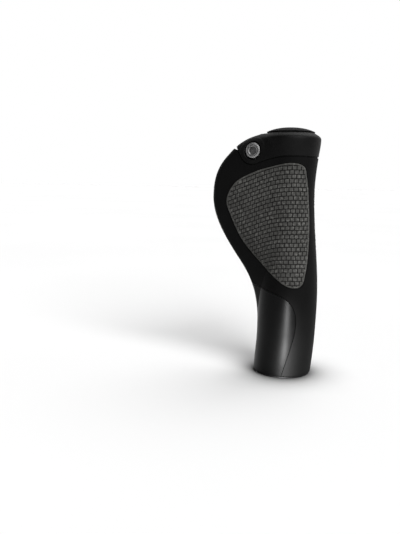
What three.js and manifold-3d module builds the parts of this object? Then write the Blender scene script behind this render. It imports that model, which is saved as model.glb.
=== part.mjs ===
// Long ergonomic handlebar grip with a palm wing and a clamp ring at its outer end.
// Millimetres. The bar axis is Z, the open inboard end rests on z = 0, the wing points to -X
// and the palm side faces -Y.
import * as THREE from 'three';
import { mergeVertices } from 'three/addons/utils/BufferGeometryUtils.js';
import Module from 'manifold-3d';

const wasm = await Module();
wasm.setup();
const { Manifold, Mesh: SolidMesh } = wasm;

// Handlebar and fits.
const barRadius = 11.1;
const barClearance = 0.1;
const seatGap = 0.3;

// Core sleeve.
const coreWall = 0.8;
const flangeWidth = 3.3;
const flangeThickness = 1.1;
const coreSlotWidth = 1.6;
const coreSlotLength = 12;
const coreSlotCount = 4;

// Lengths along the bar: rubber, clamp ring, raised rim and end cap, one above the other.
const rubberTop = 119.4;
const clampHeight = 12.2;
const rimHeight = 0.4;
const rimEdge = 0.3;
const capEdge = 0.3;
const capDome = 2.4;
const capDomePower = 2.5;

// Rubber walls on the outer side (+X) with the heights they are reached at.
const mouthWall = 3.4;
const mouthSlope = 0.11;
const bellyWall = 5.6;
const bellyHeight = 42;
const waistWall = 1.7;
const waistBelowTop = 17.4;
const topWall = 3.0;
const topSlope = 0.11;

// Rubber walls on the wing side (-X), below the wing.
const innerMouthWall = 3.6;
const innerWaistWall = 2.4;
const innerWaistHeight = 24;

// Walls of the clamp ring.
const clampWall = 4.0;
const clampWallBelowTop = 2.9;
const shoulderWall = 1.0;
const shoulderSlope = -1.9;
const rimWall = 0.8;

// Palm wing: how far its edge reaches from the bar axis, up the bar.
const wingFootBelowTop = 91.4;
const flankBelowTop = 58.4;
const flankReach = 24.4;
const flankSlope = 0.69;
const wingReach = 41.2;
const wingReachBelowTop = 21.6;
const wingTopReach = 34.1;
const wingTopSlope = -0.87;
const lugReach = 24.1;
const lugReachBelowTop = 3.3;
const lugSlope = -1.75;
const lugEndWall = 3.3;
const lugEndSlope = -3.4;

// Palm wing: its section.
const wingEdgeRadius = 4.2;
const wingEdgeSetback = -0.6;
const wingRootRadius = 7;
const wingRootTurn = 12;
const undersideFillet = 8;

// Palm pad, set into the palm side: its outline in X and in height below the rubber's top.
const padProud = 0.3;
const padWeb = 0.7;
const padCorners = [
  [7.6, 5.4], [1.8, 3.6], [-9.3, 5.5], [-20.7, 9.3], [-29.2, 14.6], [-33.5, 23.8],
  [-30.6, 32.7], [-24.5, 44.7], [-15.2, 55.4], [-5.3, 64.7], [2.6, 69.2], [8.4, 68.4],
  [10.7, 61.0], [11.8, 43.7], [11.0, 24.8], [9.3, 10.9],
];

// Finger zone: the line that parts it from the body, in X and height.
const fingerFootX = -0.7;
const fingerFootSlope = 0.26;
const fingerBulgeX = 6.4;
const fingerBulgeHeight = 31;
const fingerTopX = -4.7;
const fingerTopBelow = 73.4;
const fingerTopRise = 0.27;

// Clamp bolt and its boss.
const boltTurn = 20;
const boltWeb = 0.7;
const boltBelowTop = 9.3;
const shankRadius = 2.5;
const shankLength = 9;
const headRadius = 4.25;
const headHeight = 4.6;
const headSink = 0.3;
const socketFlats = 4;
const socketDepth = 2.6;
const counterboreClearance = 0.6;
const bossWall = 2.35;
const bossProud = 0.3;
const bossLength = 15;
const backBossWall = 2.7;
const bossBlend = 6;
const bossBlendAngle = -70;
const bossSeamAngle = -155;
const splitWidth = 1.4;
const splitOffset = 7.6;

// End cap.
const capInset = 0.2;
const plugWall = 1.3;
const plugLength = 5;

// How far a cutting solid runs past the face it opens.
const cutPast = 0.5;

// Fineness of the facets.
const sectionPoints = 58;
const sectionRays = 360;
const bendWeight = 5;
const ringStep = 4.7;
const shoulderStep = 1;
const roundSegments = 48;
const pointsPerPadCorner = 4;

// Derived radii and heights.
const boreRadius = barRadius + barClearance;
const coreRadius = boreRadius + coreWall;
const outerBore = coreRadius + seatGap;
const flangeRadius = coreRadius + flangeWidth;
const waistRadius = outerBore + waistWall;
const rimRadius = outerBore + rimWall;
const capRadius = rimRadius - capInset;
const padDepth = waistWall - padWeb - seatGap;
const boltOffset = outerBore + boltWeb + seatGap + shankRadius;
const counterboreRadius = headRadius + counterboreClearance;
const bossRadius = counterboreRadius + bossWall;
const backBossRadius = shankRadius + backBossWall;
const clampTop = rubberTop + clampHeight;
const clampShoulder = clampTop - clampWallBelowTop;
const rimTop = clampTop + rimHeight;
const capSeat = rimTop + seatGap;
const rubberFoot = flangeThickness + seatGap;
const waistHeight = rubberTop - waistBelowTop;
const boltHeight = clampTop - boltBelowTop;
const reachLimit = 2 * wingReach;

// A smooth curve through [height, value, slope] knots.
function profile(knots) {
  return (z) => {
    let i = 0;
    while (i < knots.length - 2 && z > knots[i + 1][0]) i += 1;
    const [z0, v0, m0] = knots[i];
    const [z1, v1, m1] = knots[i + 1];
    const span = z1 - z0;
    const t = THREE.MathUtils.clamp((z - z0) / span, 0, 1);
    const rise = t * t * (3 - 2 * t);
    const leave = t * (1 - t) * (1 - t) * span * m0;
    const arrive = t * t * (t - 1) * span * m1;
    return v0 + (v1 - v0) * rise + leave + arrive;
  };
}

const upperKnots = [
  [waistHeight, waistRadius, 0],
  [rubberTop, outerBore + topWall, topSlope],
  [clampShoulder, outerBore + clampWall, 0],
  [clampTop, outerBore + shoulderWall, shoulderSlope],
];

const outerSide = profile([
  [0, outerBore + mouthWall, mouthSlope],
  [bellyHeight, outerBore + bellyWall, 0],
  ...upperKnots,
]);

const innerSide = profile([
  [0, outerBore + innerMouthWall, 0],
  [innerWaistHeight, outerBore + innerWaistWall, 0],
  ...upperKnots,
]);

const wingEdge = profile([
  [rubberTop - wingFootBelowTop, outerBore + innerWaistWall, 0],
  [rubberTop - flankBelowTop, flankReach, flankSlope],
  [rubberTop - wingReachBelowTop, wingReach, 0],
  [rubberTop, wingTopReach, wingTopSlope],
  [clampTop - lugReachBelowTop, lugReach, lugSlope],
  [clampTop, outerBore + lugEndWall, lugEndSlope],
]);

// Signed distance to two circles and the straight sides that wrap them.
function taperField(x, y, a, b) {
  const length = Math.hypot(b.x - a.x, b.y - a.y);
  const along = ((x - a.x) * (b.x - a.x) + (y - a.y) * (b.y - a.y)) / length;
  const across = Math.abs((x - a.x) * (b.y - a.y) - (y - a.y) * (b.x - a.x)) / length;
  const lean = (a.r - b.r) / length;
  const upright = Math.sqrt(1 - lean * lean);
  const side = along * upright - across * lean;
  if (side < 0) return Math.hypot(along, across) - a.r;
  if (side > upright * length) return Math.hypot(along - length, across) - b.r;
  return across * upright + along * lean - a.r;
}

// Signed distance to the grip's outer skin at a height: the sleeve joined to the wing.
function skinField(x, y, z) {
  const out = outerSide(z);
  const inner = innerSide(z);
  const sleeve = { x: (out - inner) / 2, y: 0, r: (out + inner) / 2 };
  const turn = THREE.MathUtils.degToRad(wingRootTurn);
  const drop = sleeve.r - wingRootRadius;
  const root = { x: sleeve.x - drop * Math.sin(turn), y: -drop * Math.cos(turn), r: wingRootRadius };
  const reach = Math.max(wingEdge(z), inner);
  const edge = { x: wingEdgeRadius - reach, y: wingEdgeSetback, r: wingEdgeRadius };
  const sleeveField = Math.hypot(x - sleeve.x, y) - sleeve.r;
  const wingField = taperField(x, y, root, edge);
  const underside = THREE.MathUtils.smoothstep(y, -1, wingEdgeRadius);
  const spread = THREE.MathUtils.smoothstep(reach - inner, 0, 2 * undersideFillet);
  const fillet = undersideFillet * underside * spread + 1e-6;
  const mix = Math.max(fillet - Math.abs(sleeveField - wingField), 0) / fillet;
  return Math.min(sleeveField, wingField) - (mix * mix * fillet) / 4;
}

// Distance from the bar axis to the skin in one direction, with the skin grown by an offset.
function skinDistance(cos, sin, z, offset) {
  let inside = 0;
  let outside = reachLimit;
  for (let step = 0; step < 30; step += 1) {
    const middle = (inside + outside) / 2;
    if (skinField(middle * cos, middle * sin, z) < offset) inside = middle;
    else outside = middle;
  }
  return inside;
}

// The skin's outline at a height, with its points closer together where it bends.
function skinOutline(z, offset) {
  const rays = sectionRays;
  const traced = [];
  for (let i = 0; i <= rays; i += 1) {
    const angle = (2 * Math.PI * i) / rays;
    const [cos, sin] = [Math.cos(angle), Math.sin(angle)];
    const r = skinDistance(cos, sin, z, offset);
    traced.push(new THREE.Vector2(r * cos, r * sin));
  }
  const measure = [0];
  for (let i = 1; i <= rays; i += 1) {
    const step = traced[i].clone().sub(traced[i - 1]);
    const next = traced[(i % rays) + 1].clone().sub(traced[i % rays]);
    const bend = Math.abs(Math.atan2(step.cross(next), step.dot(next)));
    measure.push(measure[i - 1] + step.length() + bendWeight * bend);
  }
  const outline = [];
  let i = 0;
  for (let k = 0; k < sectionPoints; k += 1) {
    const target = (measure[rays] * k) / sectionPoints;
    while (measure[i + 1] < target) i += 1;
    const t = (target - measure[i]) / (measure[i + 1] - measure[i]);
    outline.push(traced[i].clone().lerp(traced[i + 1], t));
  }
  return outline;
}

// A closed solid through outlines stacked up the bar, each wound anticlockwise around the axis.
function loft(heights, outlineAt) {
  const positions = [];
  const indices = [];
  for (const z of heights) {
    for (const p of outlineAt(z)) positions.push(p.x, p.y, z);
  }
  const count = sectionPoints;
  const last = (heights.length - 1) * count;
  const floorCentre = positions.length / 3;
  positions.push(0, 0, heights[0], 0, 0, heights[heights.length - 1]);
  for (let k = 0; k < count; k += 1) {
    const next = (k + 1) % count;
    for (let row = 0; row < last; row += count) {
      indices.push(row + k, row + next, row + count + next);
      indices.push(row + k, row + count + next, row + count + k);
    }
    indices.push(floorCentre, next, k);
    indices.push(floorCentre + 1, last + k, last + next);
  }
  const geometry = new THREE.BufferGeometry();
  geometry.setAttribute('position', new THREE.Float32BufferAttribute(positions, 3));
  geometry.setIndex(indices);
  return geometry;
}

// Heights from one end to the other, no further apart than a step.
function levels(from, to, step) {
  const count = Math.max(1, Math.ceil((to - from) / step));
  return Array.from({ length: count + 1 }, (_, i) => from + ((to - from) * i) / count);
}

// A three.js geometry as a manifold solid with its faces outward.
function solid(geometry) {
  const bare = geometry.clone();
  bare.deleteAttribute('normal');
  bare.deleteAttribute('uv');
  const merged = mergeVertices(bare, 1e-4);
  const vertProperties = new Float32Array(merged.attributes.position.array);
  const triVerts = new Uint32Array(merged.index.array);
  const [a, b, c] = [new THREE.Vector3(), new THREE.Vector3(), new THREE.Vector3()];
  let volume = 0;
  for (let i = 0; i < triVerts.length; i += 3) {
    a.fromArray(vertProperties, 3 * triVerts[i]);
    b.fromArray(vertProperties, 3 * triVerts[i + 1]);
    c.fromArray(vertProperties, 3 * triVerts[i + 2]);
    volume += a.dot(b.cross(c));
  }
  if (volume < 0) triVerts.reverse();
  return new Manifold(new SolidMesh({ numProp: 3, vertProperties, triVerts }));
}

// A manifold solid as a named three.js mesh.
function piece(name, shape, material) {
  const mesh = shape.getMesh();
  const geometry = new THREE.BufferGeometry();
  geometry.setAttribute('position', new THREE.Float32BufferAttribute(mesh.vertProperties, 3));
  geometry.setIndex(Array.from(mesh.triVerts));
  const result = new THREE.Mesh(geometry, material);
  result.name = name;
  return result;
}

// A solid turned around the bar axis from [radius, height] corners.
function turned(corners) {
  const points = corners.map(([r, z]) => new THREE.Vector2(r, z));
  return solid(new THREE.LatheGeometry(points, roundSegments).rotateX(Math.PI / 2));
}

// A plain round bar along Z between two heights.
function rod(radius, low, high) {
  return turned([[0, low], [radius, low], [radius, high], [0, high]]);
}

// An outline drawn in X and Z, pushed through the grip along Y.
function slab(shape, front, back) {
  const depth = back - front;
  const geometry = new THREE.ExtrudeGeometry(shape, { depth, bevelEnabled: false, curveSegments: 12 });
  return solid(geometry.rotateX(Math.PI / 2).translate(0, back, 0));
}

// The clamp's own direction: X and Y turned so that the bolt points along -Y.
function alongBolt(shape) {
  return shape.rotate([0, 0, -boltTurn]);
}

// How far the skin lies from the bar axis, measured along the bolt.
function bossSurface() {
  const turn = THREE.MathUtils.degToRad(boltTurn);
  let inside = splitOffset;
  let outside = reachLimit;
  for (let step = 0; step < 30; step += 1) {
    const middle = (inside + outside) / 2;
    const x = -boltOffset * Math.cos(turn) - middle * Math.sin(turn);
    const y = boltOffset * Math.sin(turn) - middle * Math.cos(turn);
    if (skinField(x, y, boltHeight) < 0) inside = middle;
    else outside = middle;
  }
  return inside;
}

// A round bar along the bolt, between two distances from the bar axis towards the palm side.
function boltRod(radius, near, far) {
  return rod(radius, near, far).rotate([90, 0, 0]).translate([-boltOffset, 0, boltHeight]);
}

// The space that belongs to the clamp, drawn as seen along the bolt.
function clampSpace(grow) {
  const far = reachLimit;
  const foot = rubberTop - grow;
  const radius = bossRadius + grow;
  const meet = THREE.MathUtils.degToRad(bossBlendAngle);
  const leave = THREE.MathUtils.degToRad(bossSeamAngle);
  const edgeX = radius * Math.cos(meet) - boltOffset;
  const edgeZ = radius * Math.sin(meet) + boltHeight;
  const cornerX = edgeX - (foot - edgeZ) * Math.tan(meet);
  const seamX = radius * Math.cos(leave) - boltOffset;
  const seamZ = radius * Math.sin(leave) + boltHeight;
  const shape = new THREE.Shape();
  shape.moveTo(far, foot);
  shape.lineTo(cornerX + bossBlend, foot);
  shape.quadraticCurveTo(cornerX, foot, edgeX, edgeZ);
  shape.absarc(-boltOffset, boltHeight, radius, meet, leave, true);
  shape.lineTo(seamX + far * Math.sin(leave), seamZ - far * Math.cos(leave));
  shape.lineTo(far, rimTop + far);
  return alongBolt(slab(shape, -far, far));
}

// The space that belongs to the palm pad, grown by a gap all round.
function padSpace(grow) {
  const corners = padCorners.map(([x, below]) => new THREE.Vector3(x, rubberTop - below, 0));
  const curve = new THREE.CatmullRomCurve3(corners, true, 'centripetal');
  const steps = pointsPerPadCorner * padCorners.length;
  const points = Array.from({ length: steps }, (_, i) => {
    const at = curve.getPointAt(i / steps);
    const along = curve.getTangentAt(i / steps);
    return new THREE.Vector2(at.x + grow * along.y, at.y - grow * along.x);
  });
  return slab(new THREE.Shape(points), -reachLimit, 0);
}

// The space that belongs to the finger zone, grown by a gap.
function fingerSpace(grow) {
  const far = reachLimit;
  const footX = fingerFootX + grow;
  const bulgeX = fingerBulgeX + grow;
  const topZ = rubberTop - fingerTopBelow + grow;
  const climb = fingerBulgeHeight / 2;
  const turn = (topZ - fingerBulgeHeight) / 2;
  const shape = new THREE.Shape();
  shape.moveTo(-far, 0);
  shape.lineTo(footX, 0);
  shape.bezierCurveTo(
    footX + fingerFootSlope * climb, climb,
    bulgeX, fingerBulgeHeight - climb / 2, bulgeX, fingerBulgeHeight,
  );
  shape.bezierCurveTo(
    bulgeX, fingerBulgeHeight + turn,
    fingerTopX + turn, topZ - fingerTopRise * turn, fingerTopX, topZ,
  );
  shape.lineTo(-far, topZ + fingerTopRise * (far + fingerTopX));
  return slab(shape, -far, far);
}

// The grip's whole skin as a solid, grown by an offset.
function skin(offset, low, high) {
  const straight = levels(low, Math.min(high, clampShoulder), ringStep);
  const curved = high > clampShoulder ? levels(clampShoulder, high, shoulderStep).slice(1) : [];
  return solid(loft([...straight, ...curved], (z) => skinOutline(z, offset)));
}

// A layer of the palm side inside the pad's outline: the pad itself, or the pocket cut for it.
function padLayer(grow, proud, depth) {
  const low = rubberTop - Math.max(...padCorners.map(([, below]) => below)) - ringStep;
  const high = rubberTop;
  return skin(proud, low, high).intersect(padSpace(grow)).subtract(skin(-depth, low, high));
}

const envelope = skin(0, 0, clampTop);
const bore = rod(outerBore, -cutPast, rimTop + cutPast);
const foot = rod(reachLimit, -cutPast, rubberFoot);

function makeCore() {
  const sleeve = turned([
    [boreRadius, 0], [flangeRadius, 0], [flangeRadius, flangeThickness],
    [coreRadius, flangeThickness], [coreRadius, rimTop], [boreRadius, rimTop], [boreRadius, 0],
  ]);
  const slot = solid(new THREE.BoxGeometry(2 * flangeRadius, coreSlotWidth, 2 * coreSlotLength));
  let core = sleeve;
  for (let i = 0; i < coreSlotCount / 2; i += 1) {
    const turn = (360 * (i + 0.5)) / coreSlotCount;
    core = core.subtract(slot.rotate([0, 0, turn]).translate([0, 0, rimTop]));
  }
  return core;
}

function makeBody() {
  return envelope
    .subtract(bore)
    .subtract(foot)
    .subtract(clampSpace(seatGap))
    .subtract(fingerSpace(seatGap))
    .subtract(padLayer(seatGap, cutPast, padDepth + seatGap));
}

function makeFingerZone() {
  return envelope.intersect(fingerSpace(0)).subtract(bore).subtract(foot);
}

const bossFace = bossSurface() + bossProud;
const headFace = bossFace - headSink;
const headSeat = headFace - headHeight;

function makeClamp() {
  const boss = alongBolt(boltRod(bossRadius, splitOffset, bossFace))
    .intersect(skin(bossProud, rubberTop - ringStep, clampTop));
  const backBoss = alongBolt(boltRod(backBossRadius, bossFace - bossLength, splitOffset));
  const backDepth = splitOffset - (bossFace - bossLength);
  const block = alongBolt(
    solid(new THREE.BoxGeometry(boltOffset, backDepth, 2 * bossRadius))
      .translate([-boltOffset / 2, backDepth / 2 - splitOffset, boltHeight]),
  );
  const rim = turned([
    [0, clampTop - rimHeight], [rimRadius, clampTop - rimHeight],
    [rimRadius, rimTop - rimEdge], [rimRadius - rimEdge, rimTop], [0, rimTop],
  ]);
  const hole = alongBolt(boltRod(shankRadius + seatGap, bossFace - bossLength - cutPast, bossFace));
  const counterbore = alongBolt(
    boltRod(counterboreRadius, headSeat - seatGap, reachLimit),
  );
  const split = alongBolt(
    solid(new THREE.BoxGeometry(reachLimit, splitWidth, 4 * clampHeight))
      .translate([-reachLimit / 2, -splitOffset, clampTop]),
  );
  return envelope
    .intersect(clampSpace(0))
    .add(boss)
    .add(backBoss)
    .add(block.intersect(clampSpace(0)))
    .add(rim)
    .subtract(bore)
    .subtract(hole)
    .subtract(counterbore)
    .subtract(split);
}

function makeBolt() {
  const shank = boltRod(shankRadius, headSeat - shankLength, headSeat);
  const corner = socketFlats / Math.sqrt(3);
  const socket = solid(new THREE.CylinderGeometry(corner, corner, 2 * socketDepth, 6))
    .translate([-boltOffset, -headFace, boltHeight]);
  const head = boltRod(headRadius, headSeat, headFace);
  return alongBolt(head.add(shank).subtract(socket));
}

function makeCap() {
  const plugRadius = boreRadius - seatGap;
  const edgeTop = capSeat + capEdge;
  const dome = levels(0, 1, 0.2).map((s) => {
    const share = 1 - s * s;
    return [capRadius * share, edgeTop + capDome * (1 - share ** capDomePower)];
  });
  return turned([
    [0, capSeat], [plugRadius - plugWall, capSeat],
    [plugRadius - plugWall, capSeat - plugLength], [plugRadius, capSeat - plugLength],
    [plugRadius, capSeat], [capRadius, capSeat], ...dome,
  ]);
}

function finish(color, roughness, metalness) {
  return new THREE.MeshStandardMaterial({ color, roughness, metalness });
}

const blackRubber = finish(0x1c1c1d, 0.75, 0);
const smoothRubber = finish(0x161617, 0.5, 0);
const padRubber = finish(0x2c2a28, 0.85, 0);
const blackPlastic = finish(0x141415, 0.55, 0);
const blackMetal = finish(0x111112, 0.6, 0.4);
const steel = finish(0x8f9196, 0.35, 1);

const grip = new THREE.Group();
grip.add(
  piece('core_sleeve', makeCore(), blackPlastic),
  piece('grip_body', makeBody(), blackRubber),
  piece('palm_pad', padLayer(0, padProud, padDepth), padRubber),
  piece('finger_zone', makeFingerZone(), smoothRubber),
  piece('clamp_ring', makeClamp(), blackMetal),
  piece('clamp_bolt', makeBolt(), steel),
  piece('end_cap', makeCap(), blackPlastic),
);

export default grip;
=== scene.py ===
"""Long ergonomic handlebar grip on a plain white studio floor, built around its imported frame."""

import math

import bmesh
import bpy
import numpy as np
from bpy.props import FloatProperty, FloatVectorProperty, IntProperty, PointerProperty
from bpy.types import Operator, Panel, PropertyGroup
from mathutils import Matrix


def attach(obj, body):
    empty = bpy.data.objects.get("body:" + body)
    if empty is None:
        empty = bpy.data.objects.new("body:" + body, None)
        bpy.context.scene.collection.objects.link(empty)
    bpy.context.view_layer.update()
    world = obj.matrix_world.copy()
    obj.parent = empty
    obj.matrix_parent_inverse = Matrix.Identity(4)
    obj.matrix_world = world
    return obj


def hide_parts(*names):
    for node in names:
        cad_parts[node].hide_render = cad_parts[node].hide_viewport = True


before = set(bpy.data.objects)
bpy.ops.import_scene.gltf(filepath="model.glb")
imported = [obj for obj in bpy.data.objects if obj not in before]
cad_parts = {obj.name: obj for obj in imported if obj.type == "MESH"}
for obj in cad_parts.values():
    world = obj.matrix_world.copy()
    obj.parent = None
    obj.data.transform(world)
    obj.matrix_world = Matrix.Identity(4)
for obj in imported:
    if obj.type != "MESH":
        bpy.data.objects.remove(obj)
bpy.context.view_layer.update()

bl_info = {
    "name": "Ergonomic Handlebar Grip",
    "version": (1, 0, 0),
    "blender": (4, 5, 0),
    "location": "View3D > Sidebar > Grip",
    "description": "Builds a handlebar grip with a palm wing, a tiled palm pad and a clamp ring",
    "category": "Object",
}

MM = 0.001

# Fits, in millimetres.
BAR_RADIUS = 11.1
BAR_CLEARANCE = 0.1
SEAT_GAP = 0.3
CORE_WALL = 0.8

# Heights along the bar.
RUBBER_TOP = 119.4
CLAMP_TOP = RUBBER_TOP + 12.2
RIM_TOP = CLAMP_TOP + 0.4
CLAMP_SHOULDER = CLAMP_TOP - 2.9
WAIST_HEIGHT = RUBBER_TOP - 17.4

# Radii that the pieces share.
BORE_RADIUS = BAR_RADIUS + BAR_CLEARANCE
CORE_RADIUS = BORE_RADIUS + CORE_WALL
OUTER_BORE = CORE_RADIUS + SEAT_GAP
FLANGE_RADIUS = CORE_RADIUS + 3.3
FLANGE_THICKNESS = 1.1
CORE_EDGE = 0.3
CORE_SLOT_WIDTH = 1.6
CORE_SLOT_LENGTH = 12
RUBBER_FOOT = FLANGE_THICKNESS + SEAT_GAP
RIM_RADIUS = OUTER_BORE + 0.8
RIM_EDGE = 0.3
CAP_RADIUS = RIM_RADIUS - 0.2

# The wing's section.
WING_EDGE_RADIUS = 4.2
WING_EDGE_SETBACK = -0.6
WING_ROOT_RADIUS = 7
WING_ROOT_TURN = math.radians(12)
UNDERSIDE_FILLET = 8
REACH_LIMIT = 82.4

# Knots of the sleeve's and the wing's outlines: height, radius or reach, slope.
UPPER_KNOTS = [
    (WAIST_HEIGHT, OUTER_BORE + 1.7, 0),
    (RUBBER_TOP, OUTER_BORE + 3.0, 0.11),
    (CLAMP_SHOULDER, OUTER_BORE + 4.0, 0),
    (CLAMP_TOP, OUTER_BORE + 1.0, -1.9),
]
OUTER_KNOTS = [(0, OUTER_BORE + 3.4, 0.11), (42, OUTER_BORE + 5.6, 0), *UPPER_KNOTS]
INNER_KNOTS = [(0, OUTER_BORE + 3.6, 0), (24, OUTER_BORE + 2.4, 0), *UPPER_KNOTS]
WING_KNOTS = [
    (RUBBER_TOP - 91.4, OUTER_BORE + 2.4, 0),
    (RUBBER_TOP - 58.4, 24.4, 0.69),
    (RUBBER_TOP - 21.6, 41.2, 0),
    (RUBBER_TOP, 34.1, -0.87),
    (CLAMP_TOP - 3.3, 24.1, -1.75),
    (CLAMP_TOP, OUTER_BORE + 3.3, -3.4),
]

# Palm pad: how it is set in, and its outline in X and in depth below the rubber's top.
PAD_PROUD = 0.3
PAD_DEPTH = 0.7
PAD_EDGE_RADIUS = 0.35
PAD_CENTRE = (-6.0, 85.0)
PAD_CORNERS = [
    (7.6, 5.4), (1.8, 3.6), (-9.3, 5.5), (-20.7, 9.3), (-29.2, 14.6), (-33.5, 23.8),
    (-30.6, 32.7), (-24.5, 44.7), (-15.2, 55.4), (-5.3, 64.7), (2.6, 69.2), (8.4, 68.4),
    (10.7, 61.0), (11.8, 43.7), (11.0, 24.8), (9.3, 10.9),
]

# Finger zone: the line that parts it from the body, in X and height.
FINGER_FOOT_X = -0.7
FINGER_FOOT_SLOPE = 0.26
FINGER_BULGE = (6.4, 31)
FINGER_TOP = (-4.7, RUBBER_TOP - 73.4)
FINGER_TOP_RISE = 0.27

# Clamp bolt and its boss.
BOLT_TURN = math.radians(20)
SHANK_RADIUS = 2.5
SHANK_LENGTH = 9
HEAD_RADIUS = 4.25
HEAD_HEIGHT = 4.6
HEAD_SINK = 0.3
SOCKET_FLATS = 4
SOCKET_DEPTH = 2.6
BOLT_OFFSET = OUTER_BORE + 0.7 + SEAT_GAP + SHANK_RADIUS
BOLT_HEIGHT = CLAMP_TOP - 9.3
COUNTERBORE_RADIUS = HEAD_RADIUS + 0.6
BOSS_RADIUS = COUNTERBORE_RADIUS + 2.35
BOSS_PROUD = 0.3
BOSS_LENGTH = 15
BOSS_BLEND = 6
BACK_BOSS_RADIUS = SHANK_RADIUS + 2.7
BOSS_BLEND_ANGLE = math.radians(-70)
BOSS_SEAM_ANGLE = math.radians(-145)
SPLIT_WIDTH = 1.4
SPLIT_OFFSET = 7.6

# The bolt's finer detail: knurl, lead into the socket, ring turned into the face, thread.
KNURL_DEPTH = 0.18
KNURL_HALF_WIDTH = 0.16
SOCKET_TURN = math.radians(8)
LEAD_DEPTH = 0.45
RING_RADIUS = 2.875
RING_HALF_WIDTH = 0.125
RING_DEPTH = 0.3
THREAD_PITCH = 0.8
THREAD_DEPTH = 0.35

# The notch where the lug's seam runs out over the wing's edge: its point in X and height, and its opening.
NOTCH_POINT = (-28.2, BOLT_HEIGHT + 0.4)
NOTCH_TURN = math.radians(135)
NOTCH_HALF_ANGLE = math.radians(22)
NOTCH_REACH = 5

# End cap.
CAP_SEAT = RIM_TOP + SEAT_GAP
CAP_EDGE = 0.3
CAP_DOME = 2.4
CAP_DOME_POWER = 2.5
PLUG_RADIUS = BORE_RADIUS - SEAT_GAP
PLUG_WALL = 1.3
PLUG_LENGTH = 5

# Seams: depth and width of the groove that shows, and the gap that is left below it.
GROOVE_DEPTH = 0.55
GROOVE_WIDTH = 0.6
CLOSED_GAP = 0.02

# The tiles' field on the palm side: its stretch by arc and by height, and how much of that the rows fill.
FIELD_ARC = (-46, 18)
FIELD_HEIGHT = (28, RUBBER_TOP + 11)
FIELD_MARGIN = 2
ROWS_HEIGHT = 80
ROWS_MIDDLE = RUBBER_TOP - 33

# Where along the arc the rows stop climbing and level out, and how softly.
LEVEL_FROM = -6
LEVEL_BLEND = 12

# Camera, worked out from the photograph, in metres, degrees and the lens's millimetres.
CAMERA_DISTANCE = 0.33397
CAMERA_HEIGHT = 0.10441
CAMERA_YAW = 8.195
CAMERA_PITCH = -7.937
CAMERA_ROLL = 1.127
CAMERA_LENS = 40.45
CAMERA_SENSOR = 36

# Stage, in metres and radians: the lamp high up behind, the small lamp at the front, and the floor with the
# reach of the shade painted on it near the base.
TOP_AZIMUTH = math.radians(145)
TOP_ELEVATION = math.radians(64)
STRIP_WIDTH = 0.016
STRIP_HEIGHT = 0.03
STRIP_SPREAD = math.radians(20)
STRIP_DISTANCE = 0.22
STRIP_LEVEL = 0.018
PAINTED_SHADE_REACH = 0.035
FLOOR_RADII = (0.04, 0.09, 0.18, 0.36, 0.8, 2, 6, 20)


# Settings a user would change

class GRIP_PG_rubber(PropertyGroup):
    """Colours and surface of the three rubbers."""

    body_colour: FloatVectorProperty(
        name="Body", description="Colour of the matte body rubber",
        subtype="COLOR", size=3, min=0, max=1, default=(0.0040, 0.0040, 0.0040))
    finger_colour: FloatVectorProperty(
        name="Finger zone", description="Colour of the smoother finger rubber",
        subtype="COLOR", size=3, min=0, max=1, default=(0.0040, 0.0042, 0.0043))
    pad_colour: FloatVectorProperty(
        name="Palm pad", description="Colour of the palm pad's rubber",
        subtype="COLOR", size=3, min=0, max=1, default=(0.098, 0.097, 0.092))
    body_roughness: FloatProperty(
        name="Body roughness", description="Mean roughness of the body rubber",
        subtype="FACTOR", min=0, max=1, default=0.62)
    finger_roughness: FloatProperty(
        name="Finger roughness", description="Mean roughness of the finger rubber",
        subtype="FACTOR", min=0, max=1, default=0.30)
    grain: FloatProperty(
        name="Grain size", description="Size of the rubber's fine moulded grain",
        subtype="DISTANCE", min=0.0001, max=0.002, precision=5, default=0.0004)


class GRIP_PG_pad(PropertyGroup):
    """Layout of the small tiles on the palm pad."""

    tile_width: FloatProperty(
        name="Tile pitch across", description="Distance between tiles along a row",
        subtype="DISTANCE", min=0.001, max=0.01, precision=5, default=0.00245)
    tile_height: FloatProperty(
        name="Tile pitch up", description="Distance between rows",
        subtype="DISTANCE", min=0.001, max=0.01, precision=5, default=0.00225)
    groove: FloatProperty(
        name="Groove width", description="Gap between neighbouring tiles",
        subtype="DISTANCE", min=0.0001, max=0.001, precision=5, default=0.00036)
    relief: FloatProperty(
        name="Relief", description="Height of the tiles above their ground",
        subtype="DISTANCE", min=0.0001, max=0.001, precision=5, default=0.00045)
    chamfer: FloatProperty(
        name="Chamfer", description="Share of a tile's width lost to its rounded top edge",
        subtype="FACTOR", min=0, max=0.5, default=0.12)
    variation: FloatProperty(
        name="Height variation", description="How much the tiles differ in height",
        subtype="FACTOR", min=0, max=0.5, default=0.12)
    row_slope: FloatProperty(
        name="Row slope", description="Slope of the rows over the wing",
        subtype="ANGLE", min=0, max=0.8, default=math.radians(21))
    border: FloatProperty(
        name="Plain border", description="Width of the untiled edge",
        subtype="DISTANCE", min=0.0002, max=0.005, precision=5, default=0.0008)
    seed: IntProperty(
        name="Seed", description="Seed of the tiles' height variation", default=7)


class GRIP_PG_metal(PropertyGroup):
    """Colours and detail of the clamp ring and its bolt."""

    clamp_colour: FloatVectorProperty(
        name="Clamp coating", description="Colour of the coated clamp ring",
        subtype="COLOR", size=3, min=0, max=1, default=(0.0045, 0.0045, 0.0045))
    bolt_colour: FloatVectorProperty(
        name="Bolt", description="Colour of the plated steel bolt",
        subtype="COLOR", size=3, min=0, max=1, default=(0.30, 0.30, 0.30))
    edge_size: FloatProperty(
        name="Edge softness", description="Cell size that rounds the clamp ring's edges",
        subtype="DISTANCE", min=0.0002, max=0.001, precision=5, default=0.00026)
    knurl_ribs: IntProperty(
        name="Knurl ribs", description="Ribs around the bolt's head", min=12, max=96, default=48)


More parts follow.
